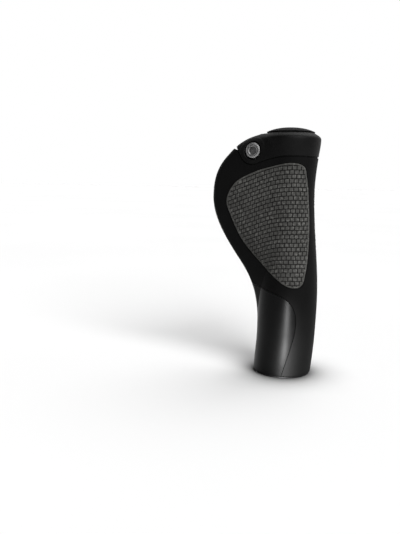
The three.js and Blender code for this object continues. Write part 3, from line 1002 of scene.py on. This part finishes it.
class GRIP_OT_pad(GripOperator, Operator):
    """Builds the palm pad and its small raised tiles"""

    bl_idname = "grip.pad"
    bl_label = "Palm Pad"

    def execute(self, context):
        pad = context.scene.grip_pad
        relief = pad.relief / MM
        border = -pad.border / MM
        ground = PAD_PROUD - relief
        obj = pad_block("pad", 0, PAD_PROUD, -PAD_DEPTH, PAD_EDGE_RADIUS)
        combine(obj, pad_block("field", border, PAD_PROUD + 1, ground))
        material = rubber_material(
            "Pad rubber", self.rubber.pad_colour, 0.78, self.rubber.grain * 0.6, 0.00002, relief=True)
        tiles = self.tiles(pad, material)
        combine(tiles, pad_block("inside", border / 2, PAD_PROUD + 1, -PAD_DEPTH / 2), "INTERSECT")
        combine(obj, tiles, "UNION")
        # How high each point stands over the ground between the tiles, which the material reads to paint
        # shade between them.
        store_values(obj, "relief", (skin_field(*mesh_points(obj).T) - ground) / relief)
        finish_piece(obj, "tiled_pad", material, "palm_pad", 30)
        return {"FINISHED"}

    def guide(self, offset):
        """The palm side as a grid, mapped by the arc along it and by its height."""
        columns, rows = 150, 120
        wing_samples, bar_samples = 1100, 400
        wing_end, bar_turn = -55, 1.5
        points = []
        for z in np.linspace(*FIELD_HEIGHT, rows):
            right = outer_side(z) * np.sin(np.linspace(0, bar_turn, bar_samples)[1:])
            x = np.concatenate([np.linspace(wing_end, 0, wing_samples), right])
            y = palm_y(x, z, offset)
            run = np.concatenate([[0], np.cumsum(np.hypot(np.diff(x), np.diff(y)))])
            at = np.linspace(*FIELD_ARC, columns) + np.interp(0, x, run)
            row = [np.interp(at, run, x), np.interp(at, run, y), np.full(columns, z)]
            points.append(np.stack(row, -1))
        faces = []
        for low in range(0, (rows - 1) * columns, columns):
            faces += [(low + c, low + c + 1, low + columns + c + 1, low + columns + c)
                      for c in range(columns - 1)]
        obj = make_object("pad tiles", np.concatenate(points), faces)
        layer = obj.data.uv_layers.new(name="UVMap")
        corners = np.empty(len(obj.data.loops), np.int32)
        obj.data.loops.foreach_get("vertex_index", corners)
        uv = np.stack([(corners % columns) / (columns - 1), (corners // columns) / (rows - 1)], -1)
        layer.data.foreach_set("uv", uv.astype(np.float32).ravel())
        return obj

    def tile(self, graph, value):
        """One tile: a low block with a chamfered top, sunk a little into its ground."""
        sunk = 0.00012
        shoulder = 0.55
        height = value["Relief"] * shoulder + sunk
        size = graph.node("ShaderNodeCombineXYZ", None, {
            "X": value["Pitch across"] - value["Groove"],
            "Y": value["Pitch up"] - value["Groove"], "Z": height})
        cube = graph.node("GeometryNodeMeshCube", None, {"Size": size})
        normal = graph.node("GeometryNodeInputNormal")
        facing = graph.other(graph.node("ShaderNodeSeparateXYZ", None, {"Vector": normal}), 2)
        top = graph.node("ShaderNodeMath", {"operation": "GREATER_THAN"}, {0: facing, 1: 0.5})
        raised = graph.node("GeometryNodeExtrudeMesh", {"mode": "FACES"}, {
            "Mesh": cube, "Selection": top, "Offset Scale": value["Relief"] * (1 - shoulder)})
        tapered = graph.node("GeometryNodeScaleElements", {"domain": "FACE"}, {
            "Geometry": raised, "Selection": graph.other(raised, 1), "Scale": 1.0 - value["Chamfer"]})
        lift = graph.node("ShaderNodeCombineXYZ", None, {"Z": height * 0.5 - sunk})
        return graph.node("GeometryNodeSetPosition", None, {"Geometry": tapered, "Offset": lift})

    def tiles(self, pad, material):
        """Tiles in rows over the palm side, made by geometry nodes, as one plain mesh."""
        guide = self.guide(PAD_PROUD - pad.relief / MM)
        tree = bpy.data.node_groups.new("Pad tiles", "GeometryNodeTree")
        graph = Graph(tree)
        face = tree.interface
        face.new_socket("Geometry", in_out="INPUT", socket_type="NodeSocketGeometry")
        settings = {
            "Pitch across": pad.tile_width, "Pitch up": pad.tile_height, "Groove": pad.groove,
            "Relief": pad.relief, "Chamfer": pad.chamfer, "Variation": pad.variation,
            "Row slope": math.tan(pad.row_slope)}
        for name in settings:
            face.new_socket(name, in_out="INPUT", socket_type="NodeSocketFloat")
        face.new_socket("Seed", in_out="INPUT", socket_type="NodeSocketInt")
        face.new_socket("Material", in_out="INPUT", socket_type="NodeSocketMaterial")
        face.new_socket("Geometry", in_out="OUTPUT", socket_type="NodeSocketGeometry")
        inputs = [item for item in face.items_tree if item.in_out == "INPUT"]
        given = graph.node("NodeGroupInput")
        value = {item.name: graph.other(given, i) for i, item in enumerate(inputs)}

        # Rows of points on a flat plan, every other row shifted by half a tile.
        left, right = (arc * MM for arc in FIELD_ARC)
        low, high = (height * MM for height in FIELD_HEIGHT)
        columns = int((right - left - 2 * FIELD_MARGIN * MM) / pad.tile_width)
        rows = int(ROWS_HEIGHT * MM / pad.tile_height)
        grid = graph.node("GeometryNodeMeshGrid", None, {
            "Size X": value["Pitch across"] * (columns - 1.0), "Size Y": value["Pitch up"] * (rows - 1.0),
            "Vertices X": columns, "Vertices Y": rows})
        index = graph.node("GeometryNodeInputIndex")
        row = index.math("MODULO", index, float(rows))
        odd = index.math("MODULO", row, 2.0)
        shift = value["Pitch across"] * (odd - 0.5) * 0.5
        shift = graph.node("ShaderNodeCombineXYZ", None, {"X": shift})
        grid = graph.node("GeometryNodeSetPosition", None, {"Geometry": grid, "Offset": shift})
        lift = graph.node("FunctionNodeRandomValue", {"data_type": "FLOAT"}, {
            2: 1.0 - value["Variation"], 3: 1.0, "Seed": value["Seed"]}, output=1)
        scale = graph.node("ShaderNodeCombineXYZ", None, {"X": 1.0, "Y": 1.0, "Z": lift})
        laid = graph.node("GeometryNodeInstanceOnPoints", None, {
            "Points": grid, "Instance": self.tile(graph, value), "Scale": scale})
        laid = graph.node("GeometryNodeRealizeInstances", None, {"Geometry": laid})

        # The plan is laid on the palm side; its rows climb over the wing and level out round the bar.
        place = graph.node("GeometryNodeInputPosition")
        plan = graph.node("ShaderNodeSeparateXYZ", None, {"Vector": place})
        side = plan + (left + right) / 2
        climb = graph.node("ShaderNodeMath", {"operation": "SMOOTH_MIN"}, {
            0: side - LEVEL_FROM * MM, 1: 0.0, 2: LEVEL_BLEND * MM})
        height = graph.other(plan, 1) + value["Row slope"] * climb + ROWS_MIDDLE * MM
        spot = graph.node("ShaderNodeCombineXYZ", None, {
            "X": (side - left) / (right - left), "Y": (height - low) / (high - low)})
        uv = graph.node("GeometryNodeInputNamedAttribute", {"data_type": "FLOAT_VECTOR"}, {"Name": "UVMap"})
        place, normal = (graph.node("GeometryNodeSampleUVSurface", {"data_type": "FLOAT_VECTOR"}, {
            "Mesh": value["Geometry"], "Value": graph.node(kind), "UV Map": uv, "Sample UV": spot})
            for kind in ("GeometryNodeInputPosition", "GeometryNodeInputNormal"))
        raised = graph.node("ShaderNodeVectorMath", {"operation": "SCALE"}, {
            0: normal, "Scale": graph.other(plan, 2)})
        target = graph.node("ShaderNodeVectorMath", {"operation": "ADD"}, {0: place, 1: raised})
        laid = graph.node("GeometryNodeSetPosition", None, {"Geometry": laid, "Position": target})
        laid = graph.node(
            "GeometryNodeSetMaterial", None, {"Geometry": laid, "Material": value["Material"]})
        graph.node("NodeGroupOutput", None, {"Geometry": laid})

        modifier = guide.modifiers.new("Pad tiles", "NODES")
        modifier.node_group = tree
        settings.update({"Seed": pad.seed, "Material": material})
        for item in inputs:
            if item.name in settings:
                modifier[item.identifier] = settings[item.name]
        return outward(bake(guide))


class GRIP_OT_clamp(GripOperator, Operator):
    """Builds the clamp ring with its lug, boss and split, its edges softened"""

    bl_idname = "grip.clamp"
    bl_label = "Clamp Ring"

    def execute(self, context):
        obj = skin_solid("clamp", RUBBER_TOP - 14, CLAMP_TOP, 90)
        combine(obj, clamp_space(0), "INTERSECT")
        boss = bolt_rod("boss", BOSS_RADIUS, SPLIT_OFFSET, BOSS_FACE)
        limit = skin_solid("boss limit", RUBBER_TOP - 5, CLAMP_TOP, 60, offset=BOSS_PROUD)
        combine(boss, limit, "INTERSECT")
        combine(obj, boss, "UNION")
        boss_end = BOSS_FACE - BOSS_LENGTH
        combine(obj, bolt_rod("back boss", BACK_BOSS_RADIUS, boss_end, SPLIT_OFFSET), "UNION")
        back = block("back", (-BOLT_OFFSET, -SPLIT_OFFSET, BOLT_HEIGHT - BOSS_RADIUS),
                     (0, -boss_end, BOLT_HEIGHT + BOSS_RADIUS))
        back = outward(move_points(back, along_bolt))
        combine(back, clamp_space(0), "INTERSECT")
        combine(obj, back, "UNION")
        corners = [(0, CLAMP_TOP - 1), (RIM_RADIUS, CLAMP_TOP - 1)]
        for angle in np.linspace(0, math.pi / 2, 7):
            radius = RIM_RADIUS - RIM_EDGE * (1 - math.cos(angle))
            corners.append((radius, RIM_TOP - RIM_EDGE * (1 - math.sin(angle))))
        combine(obj, outward(spindle("rim", [*corners, (0, RIM_TOP)], 192)), "UNION")
        combine(obj, bar_room(192))
        combine(obj, bolt_rod("hole", SHANK_RADIUS + SEAT_GAP, boss_end - 0.5, BOSS_FACE))
        combine(obj, bolt_rod("counterbore", COUNTERBORE_RADIUS, HEAD_SEAT - SEAT_GAP, REACH_LIMIT))
        split = block("split", (-REACH_LIMIT, -SPLIT_OFFSET - SPLIT_WIDTH / 2, CLAMP_TOP - 25),
                      (0, -SPLIT_OFFSET + SPLIT_WIDTH / 2, CLAMP_TOP + 25))
        combine(obj, outward(move_points(split, along_bolt)))
        combine(obj, seam_notch())
        remesh = obj.modifiers.new("Cells", "REMESH")
        remesh.mode = "VOXEL"
        remesh.voxel_size = self.metal.edge_size
        soften = obj.modifiers.new("Soften", "SMOOTH")
        soften.factor = 0.5
        soften.iterations = 5
        bake(obj)
        material = coated_material("Clamp coating", self.metal.clamp_colour, 0.52)
        finish_piece(obj, "clamp_band", material, "clamp_ring", 60)
        return {"FINISHED"}


class GRIP_OT_bolt(GripOperator, Operator):
    """Builds the socket head bolt with its knurled rim and thread"""

    bl_idname = "grip.bolt"
    bl_label = "Clamp Bolt"

    def execute(self, context):
        edge = 0.35
        root = HEAD_RADIUS - KNURL_DEPTH
        obj = spindle("bolt", [
            (0, HEAD_SEAT), (root - edge, HEAD_SEAT), (root, HEAD_SEAT + edge), (root, HEAD_FACE - edge),
            (root - 0.4 * edge, HEAD_FACE - 0.3 * edge), (root - edge, HEAD_FACE), (0, HEAD_FACE)], 144)
        clear = HEAD_FACE + 1
        corner = SOCKET_FLATS / math.sqrt(3)
        socket = stacked("socket", [circle(corner, HEAD_FACE - SOCKET_DEPTH, 6), circle(corner, clear, 6)])
        combine(obj, outward(move_points(socket, lambda points: spun(points, SOCKET_TURN))))
        lead_floor, lead_mouth = corner - 0.42, corner + 0.08
        lead = spindle("lead", [
            (0, HEAD_FACE - LEAD_DEPTH), (lead_floor, HEAD_FACE - LEAD_DEPTH),
            (lead_mouth, HEAD_FACE + 0.05), (lead_mouth, clear), (0, clear)], 96)
        combine(obj, outward(lead))
        ring_floor, ring_above, ring_flare = HEAD_FACE - RING_DEPTH, HEAD_FACE + 0.5, 0.1
        ring = turned("ring", [
            (RING_RADIUS - RING_HALF_WIDTH, ring_floor), (RING_RADIUS + RING_HALF_WIDTH, ring_floor),
            (RING_RADIUS + RING_HALF_WIDTH + ring_flare, ring_above),
            (RING_RADIUS - RING_HALF_WIDTH - ring_flare, ring_above)], 96)
        combine(obj, outward(ring))
        material = steel_material("Bolt steel", self.metal.bolt_colour)
        combine(obj, outward(self.ribs(root, material)), "UNION")
        combine(obj, outward(self.shank()), "UNION")
        self.store_hollow(obj, corner)
        outward(move_points(obj, on_bolt))
        finish_piece(obj, "socket_bolt", material, "clamp_bolt")
        return {"FINISHED"}

    def store_hollow(self, obj, corner):
        """Notes which points lie in the socket, and more strongly those on the ring groove's floor, where
        the steel's colour is darkened as painted shade.
        """
        x, y, z = mesh_points(obj).T
        radius = np.hypot(x, y)
        below_face = HEAD_FACE - z
        socket = (radius < corner + 0.01) & (below_face > 0.2) & (z > HEAD_SEAT)
        ring = (abs(radius - RING_RADIUS) < 2 * RING_HALF_WIDTH) & (abs(below_face - RING_DEPTH) < 0.1)
        store_values(obj, "painted_hollow_shade", 0.5 * socket + ring)

    def shank(self):
        """The shank with the crests and roots of its thread."""
        low, high = HEAD_SEAT - SHANK_LENGTH, HEAD_SEAT + 0.5
        root, crest = SHANK_RADIUS - THREAD_DEPTH, SHANK_RADIUS
        corners = [(0, low), (SHANK_RADIUS - 0.6, low)]
        z = low + 0.5
        while z < HEAD_SEAT - 1.5:
            corners += [(root, z), (crest, z + 0.4 * THREAD_PITCH), (crest, z + 0.55 * THREAD_PITCH)]
            z += THREAD_PITCH
        corners += [(SHANK_RADIUS, z), (SHANK_RADIUS, high), (0, high)]
        return spindle("shank", corners, 72)

    def ribs(self, root, material):
        """Knurl ribs around the head, made by geometry nodes, as one plain mesh."""
        low, high = HEAD_SEAT + 0.7, HEAD_FACE - 0.75
        foot, crest, lean = root - 0.3, HEAD_RADIUS - 0.02, 0.1
        rib = stacked("rib", [
            [(foot, -KNURL_HALF_WIDTH, low), (crest, 0, low + lean), (foot, KNURL_HALF_WIDTH, low)],
            [(foot, -KNURL_HALF_WIDTH, high), (crest, 0, high - lean), (foot, KNURL_HALF_WIDTH, high)]])
        tree = bpy.data.node_groups.new("Knurl", "GeometryNodeTree")
        graph = Graph(tree)
        face = tree.interface
        face.new_socket("Geometry", in_out="INPUT", socket_type="NodeSocketGeometry")
        count = face.new_socket("Ribs", in_out="INPUT", socket_type="NodeSocketInt")
        finish = face.new_socket("Material", in_out="INPUT", socket_type="NodeSocketMaterial")
        face.new_socket("Geometry", in_out="OUTPUT", socket_type="NodeSocketGeometry")
        given = graph.node("NodeGroupInput")
        ribs = graph.other(given, 1)
        points = graph.node("GeometryNodePoints", None, {"Count": ribs})
        angle = graph.node("GeometryNodeInputIndex") * (2 * math.pi) / ribs
        turn = graph.node("ShaderNodeCombineXYZ", None, {"Z": angle})
        laid = graph.node("GeometryNodeInstanceOnPoints", None, {
            "Points": points, "Instance": given, "Rotation": turn})
        laid = graph.node("GeometryNodeRealizeInstances", None, {"Geometry": laid})
        laid = graph.node(
            "GeometryNodeSetMaterial", None, {"Geometry": laid, "Material": graph.other(given, 2)})
        graph.node("NodeGroupOutput", None, {"Geometry": laid})
        modifier = rib.modifiers.new("Knurl", "NODES")
        modifier.node_group = tree
        modifier[count.identifier] = self.metal.knurl_ribs
        modifier[finish.identifier] = material
        return bake(rib)


class GRIP_OT_cap(GripOperator, Operator):
    """Builds the end cap with its plug and softly domed face"""

    bl_idname = "grip.cap"
    bl_label = "End Cap"

    def execute(self, context):
        soft, dome_steps = 0.2, 25
        foot = CAP_SEAT - PLUG_LENGTH
        inner = PLUG_RADIUS - PLUG_WALL
        corners = [(0, CAP_SEAT), (inner, CAP_SEAT), (inner, foot), (PLUG_RADIUS - soft, foot),
                   (PLUG_RADIUS, foot + soft), (PLUG_RADIUS, CAP_SEAT), (CAP_RADIUS - soft, CAP_SEAT),
                   (CAP_RADIUS, CAP_SEAT + soft)]
        for share in 1 - np.linspace(0, 1, dome_steps)[:-1] ** 2:
            rise = CAP_DOME * (1 - share ** CAP_DOME_POWER)
            corners.append((CAP_RADIUS * share, CAP_SEAT + CAP_EDGE + rise))
        corners.append((0, CAP_SEAT + CAP_EDGE + CAP_DOME))
        obj = outward(spindle("cap", corners, 192))
        material = coated_material("Cap plastic", (0.005, 0.005, 0.0052), 0.6, 0.0005, gloss=0.03)
        finish_piece(obj, "domed_cap", material, "end_cap", 40)
        return {"FINISHED"}


class GRIP_OT_stage(GripOperator, Operator):
    """Sets up the white floor, the lights and the camera"""

    bl_idname = "grip.stage"
    bl_label = "Stage"

    def execute(self, context):
        stage = context.scene.grip_stage
        context.scene.view_settings.view_transform = "Standard"
        self.floor()
        self.suns(stage)
        self.strip(stage)
        self.world(stage)
        self.camera()
        return {"FINISHED"}

    def floor(self):
        """A wide round floor, white where it is seen, with painted shade near the base, and grey to bounced
        light.
        """
        segments = 96
        rings = [circle(radius / MM, 0, segments) for radius in FLOOR_RADII]
        points = np.vstack([[(0, 0, 0)], *rings])
        faces = [(0, 1 + k, 1 + (k + 1) % segments) for k in range(segments)]
        for low in range(1, 1 + segments * (len(rings) - 1), segments):
            for k in range(segments):
                after = (k + 1) % segments
                faces.append((low + k, low + segments + k, low + segments + after, low + after))
        obj = make_object("floor", points, faces)
        material, graph = surface("Floor")
        cloud = graph.noise(0.35, 2)
        white = graph.mix_colour(graph.span(cloud, 0.3, 0.7, 0, 1), grey(0.83), grey(0.85))
        # Painted shade: the floor's colour goes dark grey where the grip crowds it, as found by an ambient
        # occlusion node.
        painted_contact_shade = graph.node(
            "ShaderNodeAmbientOcclusion", {"samples": 16}, {"Distance": PAINTED_SHADE_REACH}, output="AO")
        white = graph.mix_colour(graph.span(painted_contact_shade, 0.5, 0.96, 1, 0), white, grey(0.2))
        straight, passed_on = graph.seen()
        tone = graph.mix_colour(straight + passed_on, grey(0.10), white)
        close_surface(graph, {"Base Color": tone, "Roughness": 0.9, "Specular IOR Level": 0.0})
        obj.data.materials.append(material)

    def suns(self, stage):
        """A wide soft sun from the right, and a weaker one high up behind."""
        for name, strength, azimuth, elevation in (
                ("Key", stage.key_strength, stage.key_azimuth, stage.key_elevation),
                ("Top", stage.top_strength, TOP_AZIMUTH, TOP_ELEVATION)):
            light = bpy.data.lights.new(name, "SUN")
            light.energy = strength
            light.angle = stage.key_spread
            lamp = link(name, light)
            lamp.rotation_euler = (math.pi / 2 - elevation, 0, azimuth)

    def strip(self, stage):
        """A small low lamp that shines at the foot of the grip and only makes its highlight."""
        light = bpy.data.lights.new("Strip", "AREA")
        light.energy = stage.strip_power
        light.shape = "RECTANGLE"
        light.size = STRIP_WIDTH
        light.size_y = STRIP_HEIGHT
        light.spread = STRIP_SPREAD
        lamp = link("Strip", light)
        turn = stage.strip_azimuth
        lamp.location = (STRIP_DISTANCE * math.sin(turn), -STRIP_DISTANCE * math.cos(turn), STRIP_LEVEL)
        lamp.rotation_euler = (math.pi / 2 - math.atan2(STRIP_LEVEL, STRIP_DISTANCE), 0, turn)
        lamp.visible_diffuse = False

    def world(self, stage):
        """Light that is dark at the front and bright behind, and white where the background is seen."""
        world = bpy.data.worlds.new("World")
        world.use_nodes = True
        bpy.context.scene.world = world
        graph = Graph(world.node_tree)
        way = graph.node("ShaderNodeTexCoord", output="Generated")
        parts = graph.node("ShaderNodeSeparateXYZ", None, {"Vector": way})
        depth = 0.25 * parts + 0.9 * graph.other(parts, 1) + 0.35 * graph.other(parts, 2)
        level = graph.span(depth, -0.05, 0.95, 0.01, 1) * stage.fill
        backdrop = graph.span(graph.other(parts, 1), -0.1, 0.4, 0, 1)
        straight, passed_on = graph.seen()
        level = level + passed_on * (backdrop - level)
        level = level + straight * (1.0 - level)
        shade = graph.node("ShaderNodeCombineColor", None, {"Red": level, "Green": level, "Blue": level})
        background = graph.node("ShaderNodeBackground", None, {"Color": shade, "Strength": 1.0})
        graph.node("ShaderNodeOutputWorld", None, {"Surface": background})

    def camera(self):
        """The camera that the photograph was taken with, worked out from it."""
        yaw, pitch, roll = (math.radians(a) for a in (CAMERA_YAW, CAMERA_PITCH, CAMERA_ROLL))
        level = math.cos(pitch)
        forward = np.array([-math.sin(yaw) * level, math.cos(yaw) * level, math.sin(pitch)])
        right = np.array([math.cos(yaw), math.sin(yaw), 0])
        up = np.cross(right, forward)
        right_rolled = math.cos(roll) * right + math.sin(roll) * up
        up_rolled = math.cos(roll) * up - math.sin(roll) * right
        data = bpy.data.cameras.new("Camera")
        data.lens = CAMERA_LENS
        data.sensor_width = CAMERA_SENSOR
        camera = link("Camera", data)
        pose = np.eye(4)
        pose[:3, 0], pose[:3, 1], pose[:3, 2] = right_rolled, up_rolled, -forward
        pose[:3, 3] = (0, -CAMERA_DISTANCE, CAMERA_HEIGHT)
        camera.matrix_world = Matrix(pose.tolist())
        bpy.context.scene.camera = camera


OPERATORS = [
    GRIP_OT_core, GRIP_OT_body, GRIP_OT_finger, GRIP_OT_pad, GRIP_OT_clamp, GRIP_OT_bolt, GRIP_OT_cap,
    GRIP_OT_stage,
]


class GRIP_PT_panel(Panel):
    """Lists the grip's settings and the operators that build its pieces."""

    bl_label = "Handlebar Grip"
    bl_idname = "GRIP_PT_panel"
    bl_space_type = "VIEW_3D"
    bl_region_type = "UI"
    bl_category = "Grip"

    def draw(self, context):
        for name, group in SETTINGS.items():
            box = self.layout.box()
            for setting in group.__annotations__:
                box.prop(getattr(context.scene, name), setting)
        for operator in OPERATORS:
            self.layout.operator(operator.bl_idname)


def register():
    for group in SETTINGS.values():
        bpy.utils.register_class(group)
    for name, group in SETTINGS.items():
        setattr(bpy.types.Scene, name, PointerProperty(type=group))
    for cls in (*OPERATORS, GRIP_PT_panel):
        bpy.utils.register_class(cls)


def unregister():
    for cls in (GRIP_PT_panel, *reversed(OPERATORS)):
        bpy.utils.unregister_class(cls)
    for name in SETTINGS:
        delattr(bpy.types.Scene, name)
    for group in SETTINGS.values():
        bpy.utils.unregister_class(group)


def main():
    register()
    for operator in OPERATORS:
        area, name = operator.bl_idname.split(".")
        getattr(getattr(bpy.ops, area), name)()


if __name__ == "__main__":
    main()
